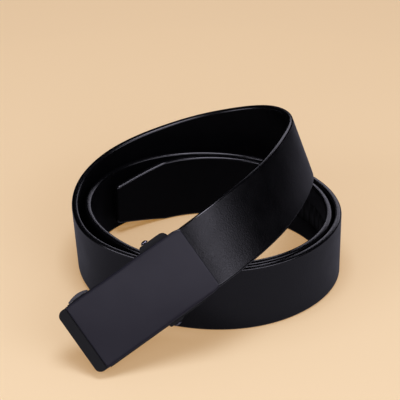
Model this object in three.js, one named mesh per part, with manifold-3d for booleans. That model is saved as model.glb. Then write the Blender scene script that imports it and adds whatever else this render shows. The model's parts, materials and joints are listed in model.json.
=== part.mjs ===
// A man's ratchet belt, wound into a coil and standing on its edge, in millimetres, +Z up.
// The strap makes two turns on the table and a third that climbs round the outside at the back,
// bends tightly at the top right and drops across the front wall into the buckle, whose far
// end rests on the table. Seen along +Y, as from the front, the buckle lies to the left.

import * as THREE from 'three';
import { mergeVertices } from 'three/addons/utils/BufferGeometryUtils.js';
import Module from 'manifold-3d';

const wasm = await Module();
wasm.setup();

// Strap
const strapWidth = 35;
const strapThick = 3.3;
const edgeRound = 1;
const tipTaperLength = 30;
const tipEndWidth = 22;
const tipCornerRound = 2;
const squareEndWidth = 34.4;
const squareEndTaper = 30;
const coilRadius = 60;
const layerGap = 0.6;
const stationStep = 6.5;

// Ratchet track let into the back of the strap
const trackStart = 92;
const trackLength = 160;
const trackWidth = 13;
const trackDepth = 1.2;
const toothPitch = 5;
const toothHeight = 0.55;
const trackSink = 0.15;

// Gap between neighbouring pieces, overlap of shapes joined into one, and a cutter's spare length
const clearance = 0.3;
const weld = 0.4;
const cutSpare = 1;

// Buckle: the place of its mouth, as in the route below, its heading and lean in degrees, its sizes
const buckleTurned = 964;
const buckleReach = 1.087;
const buckleRise = 0.843;
const buckleHeading = -157.4;
const buckleLean = -39;
const plateLength = 66.5;
const plateThick = 1.5;
const plateInset = 0.4;
const plateMouthInset = 1;
const plateMouthTaper = 5;
const plateCrown = 0.6;
const plateEdgeRound = 1.1;
const plateEndBevel = 0.35;
const webThick = 1;
const railThick = 0.6;
const railStart = 6.5;
const railDepth = 6.9;
const railCorner = 2;
const railShort = 1.5;
const shallowFrom = 46;
const shallowDepth = 2.9;
const lipLength = 4.9;
const lipInset = 0.5;
const lipStand = 0.7;
const lipCornerRound = 3.3;
const endBarThick = 1.8;
const endBarSeat = 3;

// Strap clamp at the mouth of the buckle
const clampDepth = 21;
const clampPinAt = 17.5;
const clampPinDrop = 4.9;
const clampPinRadius = 1;
const clampPinHeadRadius = 1.9;
const clampPinHeadHeight = 1.4;
const clampKnuckleRadius = 2.3;
const jawStart = 1.6;
const jawThick = 1.7;
const jawTeeth = 6;
const jawToothHeight = 0.6;
const jawLand = 0.8;
const clampEarStart = 6.2;
const clampEarEnd = 21.8;
const clampEarReach = 2.6;

// Ratchet lever, its pin and its release tab
const leverPinAt = 26.7;
const leverPinDrop = 4.9;
const leverPinRadius = 0.9;
const leverPinHeadRadius = 2;
const leverPinHeadHeight = 0.8;
const leverKnuckleRadius = 2;
const leverEarStart = 22.3;
const leverEarEnd = 30.8;
const leverEarReach = 1.3;
const cheekStart = 9;
const cheekReach = 0.5;
const leverWidth = 20;
const leverThick = 1.2;
const pawlAt = 36;
const pawlLength = 4;
const pawlTipWidth = 0.6;
const pawlGap = 0.4;
const tabStart = 53;
const tabEnd = 64;
const tabReach = 1.7;
const tabStand = 1.2;
const tabArmInset = 2.2;

const layerPitch = strapThick + layerGap;
const faceOut = strapThick / 2;
const halfWidth = strapWidth / 2;

// The strap's route, from its tip to the buckle, a row for each stretch of bend.
// turned: degrees clockwise from the tip, seen from above
// reach:  distance of the strap from the coil's axis, in coil radii
// layers: strap layers that lie between it and the inner turn
// rise:   how far it has climbed off the table, in strap widths
// lean:   degrees that its upper edge leans out from the upright (less than 0 leans in)
const route = [
  { turned: 0, reach: 1.017, layers: 0, rise: 0, lean: 0 },
  { turned: 47, reach: 0.915, layers: 0, rise: 0, lean: 0 },
  { turned: 87, reach: 0.91, layers: 0, rise: 0, lean: 0 },
  { turned: 127, reach: 0.963, layers: 0, rise: 0, lean: 0 },
  { turned: 162, reach: 0.99, layers: 0, rise: 0, lean: 0 },
  { turned: 197, reach: 0.958, layers: 0, rise: 0, lean: 0 },
  { turned: 237, reach: 0.923, layers: 0, rise: 0, lean: 0 },
  { turned: 267, reach: 0.932, layers: 0, rise: 0, lean: 0 },
  { turned: 297, reach: 0.977, layers: 0, rise: 0, lean: 0 },
  { turned: 327, reach: 1.003, layers: 1, rise: 0, lean: 0 },
  { turned: 352, reach: 1.038, layers: 1, rise: 0, lean: 0 },
  { turned: 382, reach: 1, layers: 1, rise: 0, lean: 0 },
  { turned: 414, reach: 0.933, layers: 1, rise: 0, lean: 0 },
  { turned: 447, reach: 0.913, layers: 1, rise: 0, lean: 0 },
  { turned: 480, reach: 0.96, layers: 1, rise: 0, lean: 0 },
  { turned: 512, reach: 1.002, layers: 1, rise: 0, lean: 0 },
  { turned: 547, reach: 0.975, layers: 1, rise: 0, lean: 0 },
  { turned: 582, reach: 0.945, layers: 1, rise: 0, lean: 0 },
  { turned: 614, reach: 0.928, layers: 1, rise: 0, lean: 0 },
  { turned: 638, reach: 0.962, layers: 1, rise: 0, lean: 0 },
  { turned: 654, reach: 0.972, layers: 2, rise: 0.02, lean: 1 },
  { turned: 671, reach: 1.018, layers: 2, rise: 0.05, lean: 4 },
  { turned: 699, reach: 1.045, layers: 2, rise: 0.13, lean: 4 },
  { turned: 727, reach: 1.043, layers: 2, rise: 0.24, lean: 2 },
  { turned: 755, reach: 1.0, layers: 2, rise: 0.41, lean: -2 },
  { turned: 784, reach: 0.985, layers: 2, rise: 0.63, lean: -4 },
  { turned: 812, reach: 0.942, layers: 2, rise: 0.9, lean: -13 },
  { turned: 832, reach: 0.797, layers: 2, rise: 1.03, lean: -19 },
  { turned: 856, reach: 0.717, layers: 0, rise: 1.09, lean: -24 },
  { turned: 906, reach: 0.645, layers: 0, rise: 1.12, lean: -29 },
  { turned: 948, reach: 0.94, layers: 0, rise: 1.05, lean: -36 },
];
const tipBearing = 148;

const material = {
  leather: { color: 0x1b1b1d, roughness: 0.55, metalness: 0 },
  moulded: { color: 0x121214, roughness: 0.6, metalness: 0 },
  painted: { color: 0x35343b, roughness: 0.5, metalness: 0.3 },
  steel: { color: 0x6c6c70, roughness: 0.35, metalness: 1 },
};

function named(name, geometry, finish) {
  const mesh = new THREE.Mesh(geometry, new THREE.MeshStandardMaterial(material[finish]));
  mesh.name = name;
  return mesh;
}

// Closed bodies: a loft through rings of equally many points, and cuts and joins

function loft(rings) {
  const count = rings[0].length;
  const last = rings.length - 1;
  const faces = [];
  for (let i = 0; i < last; i += 1) {
    for (let j = 0; j < count; j += 1) {
      const a = i * count + j;
      const b = i * count + ((j + 1) % count);
      faces.push(a, b, b + count, a, b + count, a + count);
    }
  }
  for (let j = 1; j < count - 1; j += 1) {
    faces.push(0, j + 1, j);
    faces.push(last * count, last * count + j, last * count + j + 1);
  }
  const geometry = new THREE.BufferGeometry().setFromPoints(rings.flat());
  geometry.setIndex(faces);
  return geometry;
}

function solid(geometry) {
  const bare = geometry.clone();
  bare.deleteAttribute('normal');
  bare.deleteAttribute('uv');
  const merged = mergeVertices(bare);
  return new wasm.Manifold(new wasm.Mesh({
    numProp: 3,
    vertProperties: new Float32Array(merged.attributes.position.array),
    triVerts: new Uint32Array(merged.index.array),
  }));
}

function geometryOf(body) {
  const mesh = body.getMesh();
  const geometry = new THREE.BufferGeometry();
  geometry.setAttribute('position', new THREE.BufferAttribute(mesh.vertProperties, 3));
  geometry.setIndex(new THREE.BufferAttribute(mesh.triVerts, 1));
  return geometry;
}

// Smooth curves through a column of the route

function slopesOf(at, values) {
  return at.slice(1).map((t, i) => (values[i + 1] - values[i]) / (t - at[i]));
}

function hermite(at, values, ends) {
  return (t) => {
    let i = 0;
    while (i < at.length - 2 && t > at[i + 1]) i += 1;
    const gap = at[i + 1] - at[i];
    const u = (t - at[i]) / gap;
    const rest = 1 - u;
    return rest * rest * ((1 + 2 * u) * values[i] + u * gap * ends[i])
      + u * u * ((1 + 2 * rest) * values[i + 1] - rest * gap * ends[i + 1]);
  };
}

// A curve that bends evenly: no change of curvature at a row, free at the tip
function evenCurve(at, values, endSlope) {
  const n = at.length;
  const slope = slopesOf(at, values);
  const carry = [0.5];
  const right = [1.5 * slope[0]];
  for (let i = 1; i < n - 1; i += 1) {
    const before = at[i] - at[i - 1];
    const after = at[i + 1] - at[i];
    const pivot = 2 * (before + after) - after * carry[i - 1];
    const wanted = 3 * (after * slope[i - 1] + before * slope[i]);
    carry.push(before / pivot);
    right.push((wanted - after * right[i - 1]) / pivot);
  }
  const ends = new Array(n).fill(endSlope);
  for (let i = n - 2; i >= 0; i -= 1) ends[i] = right[i] - carry[i] * ends[i + 1];
  return hermite(at, values, ends);
}

// A curve that never overshoots a row, so a level stretch stays exactly level
function steadyCurve(at, values, endSlope) {
  const slope = slopesOf(at, values);
  const ends = values.map((_, i) => {
    if (i === 0) return slope[0];
    if (i === values.length - 1) return endSlope;
    if (slope[i - 1] * slope[i] <= 0) return 0;
    const least = Math.min(Math.abs(slope[i - 1]), Math.abs(slope[i]));
    const mean = (slope[i - 1] + slope[i]) / 2;
    return Math.sign(mean) * Math.min(Math.abs(mean), 3 * least);
  });
  return hermite(at, values, ends);
}

function polar(turned, radius, height) {
  const bearing = THREE.MathUtils.degToRad(tipBearing - turned);
  return new THREE.Vector3(radius * Math.cos(bearing), radius * Math.sin(bearing), height);
}

// The direction of the strap's width, for its travel and its lean
function widthFor(travel, lean) {
  const tilt = THREE.MathUtils.degToRad(lean);
  const up = new THREE.Vector3(0, 0, 1).addScaledVector(travel, -travel.z).normalize();
  const side = up.clone().cross(travel);
  return up.multiplyScalar(Math.cos(tilt)).addScaledVector(side, Math.sin(tilt));
}

// Where the buckle sits: its mouth is a point of the route, and it dips until its far
// lower corner touches the table

const buckleLength = plateLength + clearance + lipLength;
const webUnder = faceOut + clearance;
const webTop = webUnder + webThick;
const plateUnder = webTop + clearance;
const lipTop = plateUnder + lipStand;
const railInside = squareEndWidth / 2 + clearance;
const railOutside = railInside + railThick;
const railEnd = plateLength - railShort;
const lipOutside = railOutside - lipInset;
const endBarTop = -faceOut - clearance;
const mouth = polar(
  buckleTurned,
  buckleReach * coilRadius + layerPitch,
  halfWidth + buckleRise * strapWidth,
);

function buckleAxes(dip) {
  const heading = THREE.MathUtils.degToRad(buckleHeading);
  const along = new THREE.Vector3(
    Math.cos(dip) * Math.cos(heading),
    Math.cos(dip) * Math.sin(heading),
    -Math.sin(dip),
  );
  const width = widthFor(along, buckleLean);
  return { along, down: width.clone().negate(), out: width.clone().cross(along) };
}

function lowestCorner(dip) {
  const axes = buckleAxes(dip);
  const corners = [[railEnd, railOutside]];
  for (let degrees = 0; degrees <= 90; degrees += 15) {
    const turn = THREE.MathUtils.degToRad(degrees);
    corners.push([
      buckleLength - lipCornerRound * (1 - Math.cos(turn)),
      lipOutside - lipCornerRound * (1 - Math.sin(turn)),
    ]);
  }
  const backs = endBarTop - endBarThick;
  const heights = corners.map(([x, y]) => x * axes.along.z + y * axes.down.z);
  return mouth.z + Math.min(...heights) + Math.min(backs * axes.out.z, lipTop * axes.out.z);
}

let shallowDip = 0;
let steepDip = 1.2;
for (let step = 0; step < 40; step += 1) {
  const middle = (shallowDip + steepDip) / 2;
  if (lowestCorner(middle) > 0) shallowDip = middle;
  else steepDip = middle;
}
const buckleFrame = buckleAxes(shallowDip);

// The strap's centre line and width at any distance from its tip

const corners = route.map((row) => polar(
  row.turned,
  row.reach * coilRadius + row.layers * layerPitch,
  halfWidth + row.rise * strapWidth,
));
corners.push(mouth);
const chord = [0];
for (let i = 1; i < corners.length; i += 1) {
  chord.push(chord[i - 1] + corners[i].distanceTo(corners[i - 1]));
}
const curveX = evenCurve(chord, corners.map((p) => p.x), buckleFrame.along.x);
const curveY = evenCurve(chord, corners.map((p) => p.y), buckleFrame.along.y);
const curveZ = steadyCurve(chord, corners.map((p) => p.z), buckleFrame.along.z);
const curveLean = steadyCurve(chord, [...route.map((row) => row.lean), buckleLean], 0);
const centreAt = (t) => new THREE.Vector3(curveX(t), curveY(t), curveZ(t));

const fineSteps = 2400;
const chordEnd = chord[chord.length - 1];
const travelled = [0];
for (let i = 1; i <= fineSteps; i += 1) {
  const before = centreAt(((i - 1) / fineSteps) * chordEnd);
  travelled.push(travelled[i - 1] + centreAt((i / fineSteps) * chordEnd).distanceTo(before));
}
const freeLength = travelled[fineSteps];
const strapLength = freeLength + clampDepth;

function chordAt(distance) {
  let i = 0;
  while (i < fineSteps - 1 && travelled[i + 1] < distance) i += 1;
  const share = (distance - travelled[i]) / (travelled[i + 1] - travelled[i]);
  return ((i + share) / fineSteps) * chordEnd;
}

function strapFrame(distance) {
  if (distance >= freeLength) {
    const point = mouth.clone().addScaledVector(buckleFrame.along, distance - freeLength);
    return { point, width: buckleFrame.down.clone().negate(), out: buckleFrame.out.clone() };
  }
  const t = chordAt(distance);
  const nudge = 0.05;
  const from = Math.max(t - nudge, 0);
  const to = Math.min(t + nudge, chordEnd);
  const travel = centreAt(to).sub(centreAt(from)).normalize();
  const width = widthFor(travel, curveLean(t));
  return { point: centreAt(t), width, out: width.clone().cross(travel) };
}

// A ring of points round the strap: each pair is [out of the face, along the width]
function ringAt(distance, pairs) {
  const { point, width, out } = strapFrame(distance);
  return pairs.map(([n, w]) => point.clone().addScaledVector(out, n).addScaledVector(width, w));
}

function stationsBetween(from, to) {
  const steps = Math.ceil((to - from) / stationStep);
  return Array.from({ length: steps + 1 }, (_, i) => from + ((to - from) * i) / steps);
}

// Strap

function strapHalfWidthAt(distance) {
  const trimmed = THREE.MathUtils.clamp(1 - (freeLength - distance) / squareEndTaper, 0, 1);
  if (distance >= tipTaperLength) return halfWidth - trimmed * (halfWidth - squareEndWidth / 2);
  const taper = distance / tipTaperLength;
  const plain = (tipEndWidth + (strapWidth - tipEndWidth) * taper) / 2;
  const left = Math.max(tipCornerRound - distance, 0);
  return plain - (tipCornerRound - Math.sqrt(tipCornerRound ** 2 - left ** 2));
}

function strapSection(half) {
  const land = faceOut - edgeRound;
  const bevel = edgeRound * Math.SQRT1_2;
  const quarter = [
    [faceOut, half - edgeRound],
    [land + bevel, half - edgeRound + bevel],
    [land, half],
  ];
  const mirrored = quarter.map(([n, w]) => [-n, w]).reverse();
  const upper = [...quarter, ...mirrored];
  return [...upper, ...upper.map(([n, w]) => [n, -w]).reverse()];
}

function strapSolid() {
  const tip = [0, 0.15, 0.4, 0.7, 1].map((share) => share * tipCornerRound);
  const stations = [...tip, ...stationsBetween(tipTaperLength / 2, tipTaperLength),
    ...stationsBetween(tipTaperLength, freeLength).slice(1),
    ...stationsBetween(freeLength, strapLength).slice(1)];
  const rings = stations.map((s) => ringAt(s, strapSection(strapHalfWidthAt(s))));
  return solid(loft(rings));
}

const trackEnd = trackStart + trackLength;
const grooveFloor = -faceOut + trackSink + trackDepth + clearance;

function grooveCutter() {
  const side = trackWidth / 2 + clearance;
  const mouthOut = -faceOut - cutSpare;
  const pairs = [[grooveFloor, side], [mouthOut, side], [mouthOut, -side], [grooveFloor, -side]];
  const stations = stationsBetween(trackStart - clearance, trackEnd + clearance);
  return solid(loft(stations.map((s) => ringAt(s, pairs))));
}

// One saw tooth, as shares of its pitch and height: sharp side, flat top, long ramp
const tooth = [
  { along: 0.1, height: 0 },
  { along: 0.2, height: 1 },
  { along: 0.4, height: 1 },
  { along: 0.95, height: 0 },
];

function ratchetTrack() {
  const base = grooveFloor - clearance;
  const root = -faceOut + trackSink + toothHeight;
  const side = trackWidth / 2;
  const ring = (s, top) => ringAt(s, [[base, side], [top, side], [top, -side], [base, -side]]);
  const teeth = Math.floor(trackLength / toothPitch);
  const ends = (trackLength - teeth * toothPitch) / 2;
  const rings = [ring(trackStart, root)];
  for (let i = 0; i < teeth; i += 1) {
    const s = trackStart + ends + i * toothPitch;
    tooth.forEach(({ along, height }) => {
      rings.push(ring(s + along * toothPitch, root - height * toothHeight));
    });
  }
  rings.push(ring(trackEnd, root));
  return loft(rings);
}

// Buckle pieces, in the buckle's own frame: x from the mouth to the far end, y across to
// the lower edge, z out of the face; the strap's middle lies at y = 0, z = 0

function box(x0, x1, y0, y1, z0, z1) {
  const geometry = new THREE.BoxGeometry(x1 - x0, y1 - y0, z1 - z0);
  return solid(geometry.translate((x0 + x1) / 2, (y0 + y1) / 2, (z0 + z1) / 2));
}

// An outline drawn in x and z, extruded across the buckle from y0 to y1
function acrossBuckle(points, y0, y1) {
  const outline = new THREE.Shape(points.map(([x, z]) => new THREE.Vector2(x, z)));
  const geometry = new THREE.ExtrudeGeometry(outline, { depth: y1 - y0, bevelEnabled: false });
  return solid(geometry.rotateX(Math.PI / 2).translate(0, y1, 0));
}

// An outline drawn in x and y, extruded out of the face from z0 to z1
function outOfFace(shape, z0, z1, curveSegments = 6) {
  const geometry = new THREE.ExtrudeGeometry(shape, {
    depth: z1 - z0, bevelEnabled: false, curveSegments,
  });
  return solid(geometry.translate(0, 0, z0));
}

function rod(x, z, radius, y0, y1, sides = 20) {
  const geometry = new THREE.CylinderGeometry(radius, radius, y1 - y0, sides);
  return solid(geometry.translate(x, (y0 + y1) / 2, z));
}

// A low ear on a rail: straight outside, with both ends swept back to the rail
function earShape(x0, x1, rail, reach, side) {
  const sweep = reach * 1.2;
  const shape = new THREE.Shape();
  shape.moveTo(x0, side * rail);
  shape.quadraticCurveTo(x0 + 0.2 * sweep, side * (rail + reach), x0 + sweep, side * (rail + reach));
  shape.lineTo(x1 - sweep / 2, side * (rail + reach));
  shape.quadraticCurveTo(x1, side * (rail + reach), x1, side * rail);
  shape.closePath();
  return shape;
}

// The release tab: an arch that stands highest nearer the mouth
function tabShape(inside) {
  const low = inside + 0.28 * tabReach;
  const crown = 2 * (inside + tabReach) - low;
  const shape = new THREE.Shape();
  shape.moveTo(tabStart, -inside);
  shape.lineTo(tabStart, -low);
  shape.quadraticCurveTo(tabStart + 0.42 * (tabEnd - tabStart), -crown, tabEnd, -low);
  shape.lineTo(tabEnd, -inside);
  shape.closePath();
  return shape;
}

// The far end of the frame, from start to the lip's rounded corners
function endShape(start) {
  const half = lipOutside;
  const corner = lipCornerRound;
  const shape = new THREE.Shape();
  shape.moveTo(start, -half);
  shape.lineTo(buckleLength - corner, -half);
  shape.absarc(buckleLength - corner, -half + corner, corner, -Math.PI / 2, 0, false);
  shape.absarc(buckleLength - corner, half - corner, corner, 0, Math.PI / 2, false);
  shape.lineTo(start, half);
  shape.closePath();
  return shape;
}

function frameSolid() {
  const rail = [
    [railStart, webTop], [railStart, -railDepth + railCorner],
    [railStart + railCorner, -railDepth], [leverEarEnd + railCorner, -railDepth],
    [shallowFrom, -shallowDepth], [railEnd, -shallowDepth], [railEnd, webTop],
  ];
  let body = acrossBuckle(rail, railInside, railOutside)
    .add(acrossBuckle(rail, -railOutside, -railInside))
    .add(box(railStart, railEnd, -railInside - weld, railInside + weld, webUnder, webTop))
    .add(outOfFace(endShape(railEnd - weld), webUnder, webTop))
    .add(outOfFace(endShape(plateLength + clearance), webUnder, lipTop))
    .add(outOfFace(endShape(railEnd - endBarSeat), endBarTop - endBarThick, endBarTop))
    .add(outOfFace(earShape(clampEarStart, clampEarEnd, railOutside - weld,
      weld + clampEarReach, -1), -railDepth, 0))
    .add(outOfFace(earShape(leverEarStart, leverEarEnd, railOutside - weld,
      weld + leverEarReach, 1), -railDepth, 0))
    .add(outOfFace(earShape(cheekStart, leverEarStart + cheekReach, railOutside - weld,
      weld + cheekReach, 1), -railDepth, 0));
  const through = railOutside + Math.max(clampEarReach, leverEarReach) + cutSpare;
  body = body
    .subtract(rod(clampPinAt, -clampPinDrop, clampPinRadius + clearance, -through, through))
    .subtract(rod(leverPinAt, -leverPinDrop, leverPinRadius + clearance, -through, through));
  return body;
}

// The face plate: crowned both ways, with its long edges rolled over, narrower at the mouth
function plateGeometry() {
  const full = railOutside - plateInset;
  const round = plateEdgeRound;
  const length = plateLength;
  const top = plateUnder + plateThick;
  const ring = (x, inset) => {
    const lengthwise = 1 - (2 * x / length - 1) ** 2;
    const half = full - plateMouthInset * Math.max(1 - x / plateMouthTaper, 0) ** 2;
    const crownAt = (y) => top - inset + plateCrown * lengthwise * (1 - (y / half) ** 2);
    const edge = [0, 30, 60].map((degrees) => {
      const turn = THREE.MathUtils.degToRad(degrees);
      return [half - round + round * Math.cos(turn), top - inset - round + round * Math.sin(turn)];
    });
    const arch = [0.93, 0.75, 0.5, 0.25].map((share) => [share * half, crownAt(share * half)]);
    const right = [[half, plateUnder], ...edge, ...arch];
    const left = right.map(([y, z]) => [-y, z]).reverse();
    const points = [...right, [0, crownAt(0)], ...left];
    return points.map(([y, z]) => new THREE.Vector3(x, y, z)).reverse();
  };
  const bevel = plateEndBevel;
  const stations = [[0, bevel], [bevel, 0.3 * bevel], [2.5 * bevel, 0]];
  const taper = [0.4, 0.7, 1].map((share) => [share * plateMouthTaper, 0]);
  const middle = [0.18, 0.34, 0.5, 0.7, 0.88].map((share) => [share * length, 0]);
  const far = stations.map(([x, inset]) => [length - x, inset]).reverse();
  return loft([...stations, ...taper, ...middle, ...far].map(([x, inset]) => ring(x, inset)).reverse());
}

// The strap clamp: a toothed jaw behind the strap, swung on the clamp pin
function clampSolid() {
  const half = railInside - clearance;
  const tips = -faceOut - clearance;
  const roots = tips - jawToothHeight;
  const under = roots - jawThick;
  const pitch = (clampPinAt - clampKnuckleRadius - jawStart - 2 * jawLand) / jawTeeth;
  const outline = [[jawStart, under], [jawStart, roots]];
  for (let i = 0; i < jawTeeth; i += 1) {
    const x = jawStart + jawLand + i * pitch;
    outline.push([x, roots], [x + 0.75 * pitch, tips], [x + 0.9 * pitch, tips]);
  }
  outline.push([clampPinAt - clampKnuckleRadius, roots], [clampPinAt, roots], [clampPinAt, under]);
  return acrossBuckle(outline.reverse(), -half, half)
    .add(rod(clampPinAt, -clampPinDrop, clampKnuckleRadius, -half, half))
    .subtract(rod(clampPinAt, -clampPinDrop, clampPinRadius + clearance,
      -half - cutSpare, half + cutSpare));
}

// The ratchet lever: a sheet with a pawl edge, and an arm out to the release tab
function leverSolid() {
  const half = leverWidth / 2;
  const under = -leverPinDrop - leverThick / 2;
  const top = under + leverThick;
  const pawlTip = -faceOut - pawlGap;
  const pawl = [
    [pawlAt, top - weld], [pawlAt + pawlLength, top - weld],
    [pawlAt + pawlTipWidth, pawlTip], [pawlAt, pawlTip],
  ];
  const tabInside = railOutside + clearance;
  const armStart = tabStart + tabArmInset;
  const armEnd = tabEnd - tabArmInset;
  return box(leverPinAt, armEnd, -half, half, under, top)
    .add(rod(leverPinAt, -leverPinDrop, leverKnuckleRadius, -half, half))
    .add(acrossBuckle(pawl, -half, half))
    .add(box(armStart, armEnd, -tabInside - weld, -half + weld, under, top))
    .add(outOfFace(tabShape(tabInside), under, tabStand))
    .subtract(rod(leverPinAt, -leverPinDrop, leverPinRadius + clearance,
      -half - cutSpare, half + cutSpare));
}

// A pin across the buckle, from its domed head on one side to a plain end in the other rail
function pinGeometry(radius, headRadius, headHeight, earReach) {
  const plainEnd = -railOutside;
  const seat = railOutside + earReach + clearance;
  const profile = [
    [0, plainEnd], [radius, plainEnd], [radius, seat], [headRadius, seat],
    [0.9 * headRadius, seat + 0.5 * headHeight], [0.5 * headRadius, seat + 0.9 * headHeight],
    [0, seat + headHeight],
  ];
  return new THREE.LatheGeometry(profile.map(([r, y]) => new THREE.Vector2(r, y)), 16);
}

const belt = new THREE.Group();
belt.add(named('strap', geometryOf(strapSolid().subtract(grooveCutter())), 'leather'));
belt.add(named('ratchet_track', ratchetTrack(), 'moulded'));

const buckle = new THREE.Group();
buckle.applyMatrix4(new THREE.Matrix4()
  .makeBasis(buckleFrame.along, buckleFrame.down, buckleFrame.out)
  .setPosition(mouth));
buckle.add(named('buckle_frame', geometryOf(frameSolid()), 'painted'));
buckle.add(named('face_plate', plateGeometry(), 'painted'));
buckle.add(named('strap_clamp', geometryOf(clampSolid()), 'painted'));
buckle.add(named('ratchet_lever', geometryOf(leverSolid()), 'steel'));

const clampPin = named('clamp_pin',
  pinGeometry(clampPinRadius, clampPinHeadRadius, clampPinHeadHeight, clampEarReach), 'steel');
clampPin.rotation.x = Math.PI;
clampPin.position.set(clampPinAt, 0, -clampPinDrop);
buckle.add(clampPin);

const leverPin = named('lever_pin',
  pinGeometry(leverPinRadius, leverPinHeadRadius, leverPinHeadHeight, leverEarReach), 'steel');
leverPin.position.set(leverPinAt, 0, -leverPinDrop);
buckle.add(leverPin);

belt.add(buckle);

// The origin is the middle of the footprint, on the table
belt.updateMatrixWorld(true);
const bounds = new THREE.Box3().setFromObject(belt, true);
const middle = bounds.getCenter(new THREE.Vector3());
belt.position.set(-middle.x, -middle.y, -bounds.min.z);

export default belt;
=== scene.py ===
# A man's ratchet belt, wound into a coil and standing on its edge, with the buckle's far
# corner on the table. Metres, +Z up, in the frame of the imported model; its front faces -Y.
import json
import math

import bmesh
import bpy
import numpy as np
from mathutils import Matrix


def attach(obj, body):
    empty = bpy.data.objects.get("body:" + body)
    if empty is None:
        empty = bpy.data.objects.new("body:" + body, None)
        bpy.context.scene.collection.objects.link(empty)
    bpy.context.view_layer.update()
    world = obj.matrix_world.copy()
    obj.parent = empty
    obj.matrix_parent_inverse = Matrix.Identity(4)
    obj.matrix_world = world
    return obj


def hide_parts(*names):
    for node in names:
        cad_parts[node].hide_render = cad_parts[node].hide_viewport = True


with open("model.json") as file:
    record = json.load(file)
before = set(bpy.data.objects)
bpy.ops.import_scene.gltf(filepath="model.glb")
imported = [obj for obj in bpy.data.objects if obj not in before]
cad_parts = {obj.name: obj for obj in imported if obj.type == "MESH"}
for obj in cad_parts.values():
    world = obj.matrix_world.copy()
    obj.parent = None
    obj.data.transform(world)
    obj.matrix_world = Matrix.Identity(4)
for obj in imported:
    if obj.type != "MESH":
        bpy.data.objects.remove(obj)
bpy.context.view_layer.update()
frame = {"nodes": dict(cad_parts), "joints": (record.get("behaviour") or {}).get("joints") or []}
MM = 0.001


# Camera
# The photo looks 30 degrees down on the coil from about 1.1 m, through a long lens, along +Y.
AIM = np.array([-2.54, 84.91, 0]) * MM
CAMERA_DISTANCE = 1.1
CAMERA_ELEVATION = math.radians(30)
LENS = 179.2
SENSOR = 36


def new_object(name, data):
    """An object of that data, linked to the scene."""
    made = bpy.data.objects.new(name, data)
    bpy.context.scene.collection.objects.link(made)
    return made


camera_data = bpy.data.cameras.new("camera")
camera_data.lens = LENS
camera_data.sensor_width = SENSOR
camera = new_object("camera", camera_data)
camera.location = AIM + CAMERA_DISTANCE * np.array(
    [0, -math.cos(CAMERA_ELEVATION), math.sin(CAMERA_ELEVATION)])
camera.rotation_euler = (math.pi / 2 - CAMERA_ELEVATION, 0, 0)
bpy.context.scene.camera = camera


# Table and light
# A pale, warm, matt board that glows faintly, so that its shadows stay light, under soft lamps.
# The photo's black leather mirrors a small grey surface and then darkness: the board, the fill
# and the surroundings don't show in gloss, and a round grey card, which nothing else sees, does.
TABLE_COLOUR = "#DAD5B3"
TABLE_GLOW = "#9C6E30"
TABLE_SIZE = 6
CARD_COLOUR = "#98989A"
CARD_RADIUS = 0.31
CARD_LIFT = 0.1 * MM
CARD_SIDES = 48
LAMP_COLOUR = "#F0ECFF"
OVERHEAD = {"at": (0, -0.1, 1.2), "size": (0.55, 0.55), "watts": 5.5}
FRONT = {"at": (0.4, -0.95, 0.95), "size": (1.5, 0.5), "watts": 2.8}
RIGHT = {"at": (0.9, -0.86, 0.72), "size": (1.3, 0.5), "watts": 3.3}
LEFT = {"at": (-0.8, -0.5, 0.55), "size": (0.6, 0.5), "watts": 2.3}
BACK = {"at": (0.4, 1.2, 0.6), "size": (1.2, 0.35), "watts": 1.8}
FILL = {"at": (0.1, -1.2, 0.35), "size": (2.2, 0.5), "watts": 6}
SURROUNDINGS = 0.25


def linear(hex_colour):
    """An sRGB hex colour as the linear red, green, blue and alpha that the shaders take."""
    channels = [int(hex_colour[i:i + 2], 16) / 255 for i in (1, 3, 5)]
    return [*(c / 12.92 if c <= 0.04045 else ((c + 0.055) / 1.055) ** 2.4 for c in channels), 1]


def add(tree, kind, inputs=None, **settings):
    """Adds a node with its settings; each input takes a value or another node's output."""
    made = tree.nodes.new(kind)
    for name, value in settings.items():
        setattr(made, name, value)
    for name, value in (inputs or {}).items():
        if isinstance(value, bpy.types.NodeSocket):
            tree.links.new(value, made.inputs[name])
        else:
            made.inputs[name].default_value = value
    return made


def new_material(name, **sockets):
    """A new material, its tree and its surface shader, with values set on the shader."""
    material = bpy.data.materials.new(name)
    material.use_nodes = True
    shader = material.node_tree.nodes["Principled BSDF"]
    for socket, value in sockets.items():
        shader.inputs[socket.replace("_", " ")].default_value = value
    return material, material.node_tree, shader


def soft_light(name, at, size, watts):
    """A rectangular lamp that faces the belt."""
    data = bpy.data.lights.new(name, "AREA")
    data.shape = "RECTANGLE"
    data.size, data.size_y = size
    data.energy = watts
    data.color = linear(LAMP_COLOUR)[:3]
    lamp = new_object(name, data)
    lamp.location = at
    lamp.rotation_euler = (-lamp.location).to_track_quat("-Z", "Y").to_euler()
    return lamp


def flat(name, outline, material):
    """A flat piece of the stage with that outline."""
    mesh = bpy.data.meshes.new(name)
    mesh.from_pydata(outline, [], [tuple(range(len(outline)))])
    mesh.materials.append(material)
    return new_object(name, mesh)


soft_light("overhead", **OVERHEAD)
soft_light("front", **FRONT)
soft_light("right", **RIGHT)
soft_light("left", **LEFT)
soft_light("back", **BACK).visible_diffuse = False
soft_light("fill", **FILL).visible_glossy = False
world = bpy.data.worlds.new("studio")
bpy.context.scene.world = world
world.use_nodes = True
background = world.node_tree.nodes["Background"]
background.inputs["Color"].default_value = linear(LAMP_COLOUR)
background.inputs["Strength"].default_value = SURROUNDINGS
world.cycles_visibility.glossy = False
bpy.context.scene.view_settings.view_transform = "Standard"

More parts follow.
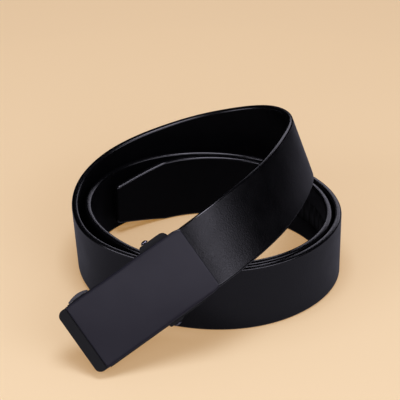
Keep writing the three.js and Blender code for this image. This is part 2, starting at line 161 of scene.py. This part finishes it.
half_table = TABLE_SIZE / 2
table = flat(
    "table",
    [(x * half_table, y * half_table, 0) for x, y in ((-1, -1), (1, -1), (1, 1), (-1, 1))],
    new_material("matt_painted_board", Base_Color=linear(TABLE_COLOUR), Roughness=0.7,
                 Specular_IOR_Level=0.2, Emission_Color=linear(TABLE_GLOW),
                 Emission_Strength=1)[0])
table.visible_glossy = False

card_rim = [2 * math.pi * k / CARD_SIDES for k in range(CARD_SIDES)]
card = flat(
    "card",
    [(CARD_RADIUS * math.cos(a), CARD_RADIUS * math.sin(a), CARD_LIFT) for a in card_rim],
    new_material("grey_paper", Base_Color=linear(CARD_COLOUR), Roughness=0.9,
                 Specular_IOR_Level=0.2)[0])
card.visible_camera = False
card.visible_diffuse = False
card.visible_shadow = False
card.visible_transmission = False


# Where the buckle sits
# The hinges of the clamp and of the lever lie one behind the other along the buckle and run
# across it, so they give its axes: along it from the mouth, down to its lower edge, and out.
CLAMP_PIN_AT = 17.5 * MM
PIN_DROP = 4.9 * MM

hinges = {joint["name"]: joint for joint in frame["joints"]}
clamp_pivot = np.array(hinges["clamp_hinge"]["pos_m"])
lever_pivot = np.array(hinges["lever_hinge"]["pos_m"])


def unit(vector):
    """The vector, or each row of vectors, at length 1."""
    return vector / np.linalg.norm(vector, axis=-1, keepdims=True)


down = unit(np.array(hinges["lever_hinge"]["axis"]))
span = lever_pivot - clamp_pivot
along = unit(span - down * (span @ down))
out = np.cross(along, down)
mouth = clamp_pivot - CLAMP_PIN_AT * along + PIN_DROP * out


def in_buckle(points):
    """Points given along, down and out from the buckle's mouth, in the belt's frame."""
    return mouth + np.asarray(points) @ np.array([along, down, out])


# Strap
# Corrected-grain black leather on both sides of a filler, 35 mm wide, its edges rounded and
# painted. It is wound from its cut tip, climbs round the outside and ends in the clamp.
STRAP_WIDTH = 35 * MM
STRAP_THICK = 3.3 * MM
EDGE_ROUND = 1.15 * MM
TIP_TAPER = 30 * MM
TIP_WIDTH = 22 * MM
TIP_CORNER = 2 * MM
END_THIN = 0.35
SQUARE_END_WIDTH = 34.4 * MM
SQUARE_END_TAPER = 30 * MM
CLAMPED = 21 * MM
COIL_RADIUS = 60 * MM
LAYER_GAP = 0.6 * MM
TRACK_START = 92 * MM
TRACK_LENGTH = 160 * MM
TRACK_WIDTH = 13 * MM
TRACK_DEPTH = 1.2 * MM
TRACK_SINK = 0.15 * MM
CLEARANCE = 0.3 * MM
LAYER_PITCH = STRAP_THICK + LAYER_GAP
HALF_WIDTH = STRAP_WIDTH / 2
HALF_THICK = STRAP_THICK / 2

# The route from the tip to the buckle's mouth, as in the solid: degrees turned clockwise,
# distance from the coil's axis in coil radii, layers inside it, rise in strap widths, and lean
# in degrees
ROUTE = [
    # turned, reach, layers, rise, lean
    (0, 1.017, 0, 0, 0),
    (47, 0.915, 0, 0, 0),
    (87, 0.91, 0, 0, 0),
    (127, 0.963, 0, 0, 0),
    (162, 0.99, 0, 0, 0),
    (197, 0.958, 0, 0, 0),
    (237, 0.923, 0, 0, 0),
    (267, 0.932, 0, 0, 0),
    (297, 0.977, 0, 0, 0),
    (327, 1.003, 1, 0, 0),
    (352, 1.038, 1, 0, 0),
    (382, 1.0, 1, 0, 0),
    (414, 0.933, 1, 0, 0),
    (447, 0.913, 1, 0, 0),
    (480, 0.96, 1, 0, 0),
    (512, 1.002, 1, 0, 0),
    (547, 0.975, 1, 0, 0),
    (582, 0.945, 1, 0, 0),
    (614, 0.928, 1, 0, 0),
    (638, 0.962, 1, 0, 0),
    (654, 0.972, 2, 0.02, 1),
    (671, 1.018, 2, 0.05, 4),
    (699, 1.045, 2, 0.13, 4),
    (727, 1.043, 2, 0.24, 2),
    (755, 1.0, 2, 0.41, -2),
    (784, 0.985, 2, 0.63, -4),
    (812, 0.942, 2, 0.9, -13),
    (832, 0.797, 2, 1.03, -19),
    (856, 0.717, 0, 1.09, -24),
    (906, 0.645, 0, 1.12, -29),
    (948, 0.94, 0, 1.05, -36),
]

# The tip's bearing from +X in degrees, and the mouth in the terms above, with one layer inside
TIP_BEARING = 148
MOUTH_TURNED = 964
MOUTH_REACH = 1.087
MOUTH_RISE = 0.843
MOUTH_LEAN = -39
turned, reach, layers, rise, lean = np.array(ROUTE, float).T


def spokes(degrees, radius, height):
    """Points round the coil's axis, at a turn from the tip, a radius and a height."""
    bearing = np.radians(TIP_BEARING - np.asarray(degrees, float))
    return np.stack([radius * np.cos(bearing), radius * np.sin(bearing), height + 0 * bearing], -1)


mouth_spoke = spokes(
    MOUTH_TURNED, MOUTH_REACH * COIL_RADIUS + LAYER_PITCH, HALF_WIDTH + MOUTH_RISE * STRAP_WIDTH)
coil_axis = mouth - mouth_spoke
corners = coil_axis + np.vstack([
    spokes(turned, reach * COIL_RADIUS + layers * LAYER_PITCH, HALF_WIDTH + rise * STRAP_WIDTH),
    mouth_spoke])
chord = np.concatenate([[0], np.cumsum(np.linalg.norm(np.diff(corners, axis=0), axis=1))])


def even_slopes(values, last):
    """Slopes of a curve with no change of curvature at a row, free at the tip."""
    step = np.diff(chord)
    slope = np.diff(values) / step
    count = len(chord)
    rows = np.eye(count)
    right = np.full(count, float(last))
    rows[0, :2] = 1, 0.5
    right[0] = 1.5 * slope[0]
    for i in range(1, count - 1):
        rows[i, i - 1:i + 2] = step[i], 2 * (step[i - 1] + step[i]), step[i - 1]
        right[i] = 3 * (step[i] * slope[i - 1] + step[i - 1] * slope[i])
    return np.linalg.solve(rows, right)


def steady_slopes(values, last):
    """Slopes of a curve that never overshoots a row, so a level stretch stays level."""
    slope = np.diff(values) / np.diff(chord)
    before, after = slope[:-1], slope[1:]
    mean = (before + after) / 2
    least = np.minimum(abs(before), abs(after))
    inner = np.where(before * after > 0, np.sign(mean) * np.minimum(abs(mean), 3 * least), 0)
    return np.concatenate([[slope[0]], inner, [last]])


def through(values, slopes, at):
    """A curve given by values and slopes at the corners, at distances along the chords."""
    i = np.clip(np.searchsorted(chord, at, side="left") - 1, 0, len(chord) - 2)
    gap = chord[i + 1] - chord[i]
    u = (at - chord[i]) / gap
    rest = 1 - u
    return (rest ** 2 * ((1 + 2 * u) * values[i] + u * gap * slopes[i])
            + u ** 2 * ((1 + 2 * rest) * values[i + 1] - rest * gap * slopes[i + 1]))


centre_slopes = [even_slopes(corners[:, 0], along[0]), even_slopes(corners[:, 1], along[1]),
                 steady_slopes(corners[:, 2], along[2])]
leans = np.append(lean, MOUTH_LEAN)
lean_slopes = steady_slopes(leans, 0)


def centre_at(at):
    """The strap's middle line, at distances along the chords."""
    return np.stack([through(corners[:, k], centre_slopes[k], at) for k in range(3)], -1)


def width_for(travel, degrees):
    """The direction of the strap's width, for its travel and its lean."""
    tilt = np.radians(degrees)[..., None]
    upright = unit(np.array([0, 0, 1]) - travel * travel[..., 2:])
    return upright * np.cos(tilt) + np.cross(upright, travel) * np.sin(tilt)


FINE_STEPS = 4800
NUDGE = 0.05 * MM
fine = np.linspace(0, chord[-1], FINE_STEPS)
travelled = np.concatenate(
    [[0], np.cumsum(np.linalg.norm(np.diff(centre_at(fine), axis=0), axis=1))])
free_length = travelled[-1]
strap_length = free_length + CLAMPED


def strap_frames(distances):
    """Middle, width and outward direction of the strap at distances from its tip."""
    distances = np.asarray(distances, float)
    at = np.interp(distances, travelled, fine)
    ahead = centre_at(np.minimum(at + NUDGE, chord[-1]))
    travel = unit(ahead - centre_at(np.maximum(at - NUDGE, 0)))
    width = width_for(travel, through(leans, lean_slopes, at))
    outward = np.cross(width, travel)
    inside = np.maximum(distances - free_length, 0)[:, None]
    held = inside > 0
    return (centre_at(at) + inside * along, np.where(held, -down, width),
            np.where(held, out, outward))


def loft(name, rings, spans=None, cap_slot=0):
    """A closed mesh through rings of equally many points; spans has each side's material slot."""
    count = len(rings[0])
    last = len(rings) - 1
    faces = []
    slots = []
    for i in range(last):
        for j in range(count):
            a, b = i * count + j, i * count + (j + 1) % count
            faces.append((a, b, b + count, a + count))
            slots.append(spans[j] if spans else 0)
    faces += [tuple(reversed(range(count))), tuple(range(last * count, (last + 1) * count))]
    slots += [cap_slot] * 2
    mesh = bpy.data.meshes.new(name)
    mesh.from_pydata(np.concatenate(rings).tolist(), [], faces)
    mesh.polygons.foreach_set("material_index", slots)
    mesh.update()
    return mesh


def placed(mesh, body, node, slot, *materials):
    """The piece made of that mesh: it rides on its body and stands for its node."""
    piece = new_object(mesh.name, mesh)
    for material in materials:
        mesh.materials.append(material)
    mesh.shade_smooth()
    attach(piece, body)
    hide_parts(node)
    return piece


FACE_SLOT, EDGE_SLOT, BACK_SLOT = 0, 1, 2
EDGE_STEPS = 5
FLAT_MARGIN = 0.4 * MM
GROOVE_SIDE = TRACK_WIDTH / 2 + CLEARANCE
GROOVE_DEPTH = TRACK_SINK + TRACK_DEPTH + CLEARANCE
GROOVE_DRAFT = 0.1 * MM
GROOVE_START = TRACK_START - CLEARANCE
GROOVE_END = TRACK_START + TRACK_LENGTH + CLEARANCE


def half_width_at(distance):
    """Half the strap's width: narrowed to the cut tip, and trimmed a little at the clamp."""
    if distance >= TIP_TAPER:
        trimmed = min(max(1 - (free_length - distance) / SQUARE_END_TAPER, 0), 1)
        return HALF_WIDTH - trimmed * (HALF_WIDTH - SQUARE_END_WIDTH / 2)
    plain = (TIP_WIDTH + (STRAP_WIDTH - TIP_WIDTH) * distance / TIP_TAPER) / 2
    left = max(TIP_CORNER - distance, 0)
    return plain - (TIP_CORNER - math.sqrt(TIP_CORNER ** 2 - left ** 2))


def strap_section(distance):
    """Round the strap from the face's upper edge: pairs of distances outward and across."""
    half = half_width_at(distance)
    closing = min(distance, strap_length - distance, EDGE_ROUND)
    thin = math.sqrt(1 - (1 - closing / EDGE_ROUND) ** 2) * (1 - END_THIN) + END_THIN
    arc = [math.radians(90 * k / EDGE_STEPS) for k in range(EDGE_STEPS + 1)]
    shoulder = half - EDGE_ROUND
    face = HALF_THICK - EDGE_ROUND
    upper = [(HALF_THICK, shoulder - FLAT_MARGIN)]
    upper += [(face + EDGE_ROUND * math.cos(a), shoulder + EDGE_ROUND * math.sin(a)) for a in arc]
    upper += [(-n, w) for n, w in reversed(upper)]
    floor = -HALF_THICK + (GROOVE_DEPTH if GROOVE_START < distance < GROOVE_END else 0)
    back = [(-HALF_THICK, GROOVE_SIDE), (floor, GROOVE_SIDE - GROOVE_DRAFT)]
    side = upper + back
    pairs = side + [(n, -w) for n, w in reversed(side)]
    return [(n * thin, w) for n, w in pairs]


edge_spans = [FACE_SLOT] + [EDGE_SLOT] * (2 * EDGE_STEPS + 1) + [BACK_SLOT]
half_spans = edge_spans + [BACK_SLOT] * 2
strap_spans = half_spans + [BACK_SLOT] + list(reversed(half_spans)) + [FACE_SLOT]

# Distances from the tip at which the strap gets a ring: close together where its form changes
STRAP_STEP = 1.6 * MM
TIP_RINGS = 20
CLAMPED_RINGS = 12
GROOVE_STEP = 0.02 * MM
ROUND_SHARES = (0, 0.1, 0.3, 0.6)
stations = sorted({
    *(share * EDGE_ROUND for share in (*ROUND_SHARES, 1)),
    *(share * TIP_CORNER for share in (0.75, 1)),
    *np.linspace(TIP_CORNER, TIP_TAPER, TIP_RINGS),
    *np.linspace(TIP_TAPER, free_length, round((free_length - TIP_TAPER) / STRAP_STEP)),
    *np.linspace(free_length, strap_length - EDGE_ROUND, CLAMPED_RINGS),
    *(strap_length - share * EDGE_ROUND for share in ROUND_SHARES),
    *(end + side * GROOVE_STEP for end in (GROOVE_START, GROOVE_END) for side in (-1, 1)),
})
middles, widths, outs = strap_frames(stations)
rings = []
for s, middle, width, outward in zip(stations, middles, widths, outs):
    section = np.array(strap_section(s))
    rings.append(middle + section[:, :1] * outward + section[:, 1:] * width)
strap_mesh = loft("leather_strap", rings, strap_spans, EDGE_SLOT)

# Corrected-grain leather: sanded, pigmented and pressed with a fine, even grain, so it is a
# satin black with a slight mottle and hardly any colour of its own
GRAIN = 0.65 * MM
PORES = 0.26 * MM
PORE_SHARE = 0.4
MOTTLE = 9 * MM
MOTTLE_GLOSS = 0.04
LEATHER_BLACK = "#030304"
LEATHER_WORN = "#060607"
EDGE_BLACK = "#050506"


def noise(tree, size, detail=2.0):
    """Noise in patches of that size, an output that is mostly between 0.3 and 0.7."""
    place = add(tree, "ShaderNodeTexCoord").outputs["Object"]
    return add(tree, "ShaderNodeTexNoise",
               {"Vector": place, "Scale": 1 / size, "Detail": detail}).outputs["Fac"]


def vary_roughness(tree, shader, value, low, high, start=0.3, end=0.7):
    """The roughness goes from low to high as the value goes from start to end."""
    rough = add(tree, "ShaderNodeMapRange", {
        "Value": value, "From Min": start, "From Max": end, "To Min": low, "To Max": high})
    tree.links.new(rough.outputs["Result"], shader.inputs["Roughness"])


def emboss(tree, shader, height, depth):
    """Relief too fine for the mesh: a height from 0 to 1, times that depth."""
    bump = add(tree, "ShaderNodeBump", {"Height": height, "Distance": depth, "Strength": 1.0})
    tree.links.new(bump.outputs["Normal"], shader.inputs["Normal"])


def leather(name, roughness, grain_depth, sheen):
    """Black leather, mottled in colour and gloss, with fine pores in a pressed grain."""
    made, tree, shader = new_material(name, IOR=1.5, Specular_IOR_Level=sheen)
    mottle = noise(tree, MOTTLE, 3.0)
    colour = add(tree, "ShaderNodeMix", {
        "Factor": mottle, 6: linear(LEATHER_BLACK), 7: linear(LEATHER_WORN)}, data_type="RGBA")
    tree.links.new(colour.outputs[2], shader.inputs["Base Color"])
    vary_roughness(tree, shader, mottle, roughness - MOTTLE_GLOSS, roughness + MOTTLE_GLOSS)
    place = add(tree, "ShaderNodeTexCoord").outputs["Object"]
    cells = add(tree, "ShaderNodeTexVoronoi",
                {"Vector": place, "Scale": 1 / GRAIN}, feature="SMOOTH_F1")
    relief = add(tree, "ShaderNodeMath", {
        0: noise(tree, PORES), 1: PORE_SHARE, 2: cells.outputs["Distance"]},
        operation="MULTIPLY_ADD")
    emboss(tree, shader, relief.outputs["Value"], grain_depth)
    return made


def edge_paint():
    """Several coats of acrylic, rubbed smooth, glossier than the leather."""
    made, tree, shader = new_material(
        "acrylic_edge_paint", Base_Color=linear(EDGE_BLACK), Roughness=0.22, IOR=1.49,
        Specular_IOR_Level=0.8)
    emboss(tree, shader, noise(tree, 1.5 * MM), 0.03 * MM)
    return made


placed(strap_mesh, "belt", "strap", "leather",
       leather("corrected_grain_leather", 0.33, 0.09 * MM, 0.5),
       edge_paint(),
       leather("split_leather_back", 0.5, 0.015 * MM, 0.1))


# Ratchet track
# A strip of nylon with saw teeth, glued into a groove in the strap's back; the lever's pawl
# catches in its teeth. It is matt black and smooth.
TOOTH_PITCH = 5 * MM
TOOTH_HEIGHT = 0.55 * MM
TOOTH_SHARE = 0.86
RAMP_SHARE = 0.62
TRACK_BODY = TRACK_DEPTH - TOOTH_HEIGHT
TRACK_MARGIN = 0.2 * MM
TRACK_POINTS = 120
NYLON_BLACK = "#040404"


def tooth_strip():
    """Geometry nodes: a flat strip along a line of edges, with a ramped tooth every pitch."""
    tree = bpy.data.node_groups.new("tooth_strip", "GeometryNodeTree")
    sizes = {
        "Pitch": TOOTH_PITCH, "Width": TRACK_WIDTH, "Body": TRACK_BODY, "Height": TOOTH_HEIGHT}
    tree.interface.new_socket("Line", in_out="INPUT", socket_type="NodeSocketGeometry")
    for name in sizes:
        tree.interface.new_socket(name, in_out="INPUT", socket_type="NodeSocketFloat")
    tree.interface.new_socket("Finish", in_out="INPUT", socket_type="NodeSocketMaterial")
    tree.interface.new_socket("Strip", in_out="OUTPUT", socket_type="NodeSocketGeometry")

    def maths(operation, a, b):
        return add(tree, "ShaderNodeMath", {0: a, 1: b}, operation=operation).outputs[0]

    given = add(tree, "NodeGroupInput").outputs
    line = add(tree, "GeometryNodeMeshToCurve", {"Mesh": given["Line"]})
    upright = add(tree, "GeometryNodeSetCurveNormal", {"Curve": line.outputs["Curve"]},
                  mode="Z_UP")
    section = add(tree, "GeometryNodeCurvePrimitiveQuadrilateral",
                  {"Width": given["Body"], "Height": given["Width"]})
    body = add(tree, "GeometryNodeCurveToMesh", {
        "Curve": upright.outputs["Curve"], "Profile Curve": section.outputs["Curve"],
        "Fill Caps": True})
    spots = add(tree, "GeometryNodeCurveToPoints", {
        "Curve": upright.outputs["Curve"], "Length": given["Pitch"]}, mode="LENGTH")
    run = maths("MULTIPLY", given["Pitch"], TOOTH_SHARE)
    size = add(tree, "ShaderNodeCombineXYZ", {
        "X": maths("MULTIPLY", given["Height"], 2.0), "Y": given["Width"], "Z": run})
    block = add(tree, "GeometryNodeMeshCube", {"Size": size.outputs["Vector"]})

    # Each tooth's outer edge at the back is drawn forward, which leaves a ramp
    position = add(tree, "GeometryNodeInputPosition").outputs["Position"]
    corner = add(tree, "ShaderNodeSeparateXYZ", {"Vector": position}).outputs
    proud = maths("GREATER_THAN", corner["X"], 0.0)
    behind = maths("LESS_THAN", corner["Z"], 0.0)
    ramp = maths("MULTIPLY", run, RAMP_SHARE)
    shift = maths("MULTIPLY", ramp, maths("MULTIPLY", proud, behind))
    saw = add(tree, "GeometryNodeSetPosition", {
        "Geometry": block.outputs["Mesh"],
        "Offset": add(tree, "ShaderNodeCombineXYZ", {"Z": shift}).outputs["Vector"]})
    teeth = add(tree, "GeometryNodeInstanceOnPoints", {
        "Points": spots.outputs["Points"], "Instance": saw.outputs["Geometry"],
        "Rotation": spots.outputs["Rotation"]})
    joined = add(tree, "GeometryNodeJoinGeometry")
    tree.links.new(teeth.outputs["Instances"], joined.inputs["Geometry"])
    tree.links.new(body.outputs["Mesh"], joined.inputs["Geometry"])
    real = add(tree, "GeometryNodeRealizeInstances", {"Geometry": joined.outputs["Geometry"]})
    painted = add(tree, "GeometryNodeSetMaterial", {
        "Geometry": real.outputs["Geometry"], "Material": given["Finish"]})
    add(tree, "NodeGroupOutput", {"Strip": painted.outputs["Geometry"]})
    return tree, sizes


def grown(name, line_mesh, tree, sizes, material):
    """The plain mesh that a tree of geometry nodes makes of a line."""
    carrier = new_object(name, line_mesh)
    modifier = carrier.modifiers.new(name, "NODES")
    modifier.node_group = tree
    sockets = {socket.name: socket.identifier for socket in tree.interface.items_tree}
    for size, value in sizes.items():
        modifier[sockets[size]] = value
    modifier[sockets["Finish"]] = material
    bpy.context.view_layer.update()
    shown = carrier.evaluated_get(bpy.context.evaluated_depsgraph_get())
    mesh = bpy.data.meshes.new_from_object(shown)
    mesh.name = name
    bpy.data.objects.remove(carrier)
    return mesh


def moulded_nylon():
    """Black nylon with the fine skin of its mould."""
    made, tree, shader = new_material(
        "moulded_nylon", Base_Color=linear(NYLON_BLACK), Roughness=0.6, IOR=1.53,
        Specular_IOR_Level=0.15)
    emboss(tree, shader, noise(tree, 0.4 * MM), 0.003 * MM)
    return made


track_bed = -HALF_THICK + TRACK_SINK + TRACK_DEPTH - TRACK_BODY / 2
track_line = bpy.data.meshes.new("track_line")
middles, widths, outs = strap_frames(np.linspace(
    TRACK_START + TRACK_MARGIN, TRACK_START + TRACK_LENGTH - TRACK_MARGIN, TRACK_POINTS))
track_line.from_pydata(
    (middles + track_bed * outs).tolist(), [(i, i + 1) for i in range(TRACK_POINTS - 1)], [])
placed(grown("tooth_strip", track_line, *tooth_strip(), moulded_nylon()),
       "belt", "ratchet_track", "track")


# Buckle frame
# Die-cast zinc, painted a satin dark grey: two rails with ears for the pins, a web between
# them and a lip past the plate. The casting's edges are broken, not sharp.
CAST_EDGE = 0.3 * MM
WELD = 0.003 * MM
FLAT_WITHIN = math.radians(1)
SHARP_OVER = math.radians(30)
RAIL_THICK = 0.6 * MM
RAIL_OUTSIDE = SQUARE_END_WIDTH / 2 + CLEARANCE + RAIL_THICK
FRAME_GREY = "#0D0E0E"
PEEL_DEPTH = 0.012 * MM
CLOUD = 12 * MM
CLOUD_GLOSS = 0.03


def softened(name, node):
    """A mesh of a node's shape, its triangles joined into flat faces."""
    form = bmesh.new()
    form.from_mesh(frame["nodes"][node].data)
    bmesh.ops.remove_doubles(form, verts=form.verts, dist=WELD)
    bmesh.ops.dissolve_limit(
        form, angle_limit=FLAT_WITHIN, verts=form.verts, edges=form.edges)
    form.verts.index_update()
    mesh = bpy.data.meshes.new(name)
    mesh.from_pydata([tuple(v.co) for v in form.verts], [],
                     [[v.index for v in face.verts] for face in form.faces])
    form.free()
    return mesh


def rounded(piece, width):
    """Breaks the piece's sharp edges over that width."""
    bevel = piece.modifiers.new("broken_edges", "BEVEL")
    bevel.width = width
    bevel.segments = 3
    bevel.limit_method = "ANGLE"
    bevel.angle_limit = SHARP_OVER
    bevel.harden_normals = True


def paint(name, colour, roughness, peel, shine):
    """Sprayed paint: an even colour with the faint orange peel of a baked coat."""
    made, tree, shader = new_material(
        name, Base_Color=linear(colour), Roughness=roughness, IOR=1.5, Specular_IOR_Level=shine)
    emboss(tree, shader, noise(tree, peel), PEEL_DEPTH)
    vary_roughness(
        tree, shader, noise(tree, CLOUD), roughness - CLOUD_GLOSS, roughness + CLOUD_GLOSS)
    return made


cast_paint = paint("satin_paint_on_zinc", FRAME_GREY, 0.35, 0.6 * MM, 0.3)
rounded(placed(softened("cast_frame", "buckle_frame"),
               "belt", "buckle_frame", "frame_paint", cast_paint), CAST_EDGE)


# Face plate
# Zinc too, polished smooth and painted a matt gunmetal: crowned both ways, its long edges
# rolled over, its ends square and just broken. Studs that don't show hold it to the web.
PLATE_LENGTH = 66.5 * MM
PLATE_THICK = 1.5 * MM
PLATE_INSET = 0.4 * MM
PLATE_MOUTH_INSET = 1 * MM
PLATE_MOUTH_TAPER = 5 * MM
PLATE_CROWN = 0.6 * MM
PLATE_ROLL_WIDTH = 1.4 * MM
PLATE_ROLL = 0.7 * MM
PLATE_END_ROUND = 0.4 * MM
PLATE_END_MARGIN = 0.8 * MM
PLATE_RINGS = 48
WEB_THICK = 1 * MM
ROLL_STEPS = 9
END_STEPS = 4
FACE_SHARES = (0.96, 0.8, 0.6, 0.4, 0.2)
PLATE_UNDER = HALF_THICK + CLEARANCE + WEB_THICK + CLEARANCE
PLATE_GREY = "#18171F"


def plate_ring(x, inset):
    """Round the plate at x from its mouth end, its face and sides drawn in by inset."""
    narrowed = PLATE_MOUTH_INSET * max(1 - x / PLATE_MOUTH_TAPER, 0) ** 2
    half = RAIL_OUTSIDE - PLATE_INSET - narrowed - inset
    top = PLATE_UNDER + PLATE_THICK - inset
    lengthwise = 1 - (2 * x / PLATE_LENGTH - 1) ** 2
    turns = [math.radians(90 * k / ROLL_STEPS) for k in range(ROLL_STEPS + 1)]
    right = [(half, PLATE_UNDER)]
    right += [(half - PLATE_ROLL_WIDTH * (1 - math.cos(a)), top - PLATE_ROLL * (1 - math.sin(a)))
              for a in turns]
    right += [((half - PLATE_ROLL_WIDTH) * share, top) for share in FACE_SHARES]
    across = right + [(0, top)] + [(-y, z) for y, z in reversed(right)]
    return in_buckle([
        (x, y, z + PLATE_CROWN * lengthwise * (1 - (y / half) ** 2) * (z > PLATE_UNDER))
        for y, z in across])


end_turns = [math.radians(90 * k / END_STEPS) for k in range(END_STEPS + 1)]
near_end = [(PLATE_END_ROUND * (1 - math.cos(a)), PLATE_END_ROUND * (1 - math.sin(a)))
            for a in end_turns] + [(PLATE_END_MARGIN, 0)]
plate_stations = near_end + [
    (share * PLATE_LENGTH, 0) for share in np.linspace(0.02, 0.97, PLATE_RINGS)]
plate_stations += [(PLATE_LENGTH - x, inset) for x, inset in reversed(near_end)]
placed(loft("crowned_plate", [plate_ring(x, inset) for x, inset in plate_stations]),
       "belt", "face_plate", "plate_paint",
       paint("matt_gunmetal_paint", PLATE_GREY, 0.32, 0.5 * MM, 0.5))


# Strap clamp and its pin
# A cast jaw with teeth that bite the strap's back, swung on a steel pin between the ears. The
# pin is turned from rod, with a domed head.
CLAMP_PIN = {"radius": 1.0 * MM, "head": 1.9 * MM, "dome": 1.4 * MM, "ear": 2.6 * MM}
PIN_SIDES = 40
PIN_CHAMFER = 0.2 * MM
HEAD_CHAMFER = 0.1 * MM
HEAD_RIM = 0.15 * MM
DOME_TURNS = [math.radians(12 * k) for k in range(8)]
JAW_EDGE = 0.15 * MM
STEEL_GREY = "#8F8D97"


def turned_pin(name, at, side, radius, head, dome, ear):
    """A pin across the buckle, its domed head past the ear on one side."""
    plain_end = -RAIL_OUTSIDE
    seat = RAIL_OUTSIDE + ear + CLEARANCE
    profile = [(radius - PIN_CHAMFER, plain_end), (radius, plain_end + PIN_CHAMFER),
               (radius, seat), (head - HEAD_CHAMFER, seat), (head, seat + HEAD_CHAMFER)]
    profile += [(head * math.cos(a), seat + HEAD_RIM + (dome - HEAD_RIM) * math.sin(a))
                for a in DOME_TURNS]
    rounds = [2 * math.pi * k / PIN_SIDES for k in range(PIN_SIDES)]
    rings = [in_buckle([(at + r * math.cos(turn), side * y, -PIN_DROP + side * r * math.sin(turn))
                        for turn in reversed(rounds)]) for r, y in profile]
    return loft(name, rings)


def dark_steel():
    """Dark plated steel, its gloss slightly uneven."""
    made, tree, shader = new_material(
        "black_plated_steel", Base_Color=linear(STEEL_GREY), Metallic=1.0, Roughness=0.22)
    vary_roughness(tree, shader, noise(tree, 0.8 * MM), 0.18, 0.28, 0, 1)
    return made


steel = dark_steel()
rounded(placed(softened("cast_jaw", "strap_clamp"),
               "clamp", "strap_clamp", "frame_paint", cast_paint), JAW_EDGE)
placed(turned_pin("clamp_rivet", CLAMP_PIN_AT, -1, **CLAMP_PIN),
       "belt", "clamp_pin", "steel", steel)


# Ratchet lever and its pin
# Pressed steel, blackened: a flat lever with a pawl bent up across it and an arm out to the
# release tab, which the thumb presses at the buckle's upper edge.
LEVER_PIN_AT = CLAMP_PIN_AT + np.linalg.norm(span)
LEVER_PIN = {"radius": 0.9 * MM, "head": 2 * MM, "dome": 0.8 * MM, "ear": 1.3 * MM}
LEVER_EDGE = 0.4 * MM
OXIDE_BLACK = "#1C1C1F"

rounded(placed(softened("pressed_lever", "ratchet_lever"),
               "lever", "ratchet_lever", "steel",
               paint("black_oxide_steel", OXIDE_BLACK, 0.25, 0.5 * MM, 1.0)), LEVER_EDGE)
placed(turned_pin("lever_rivet", LEVER_PIN_AT, 1, **LEVER_PIN),
       "belt", "lever_pin", "steel", steel)
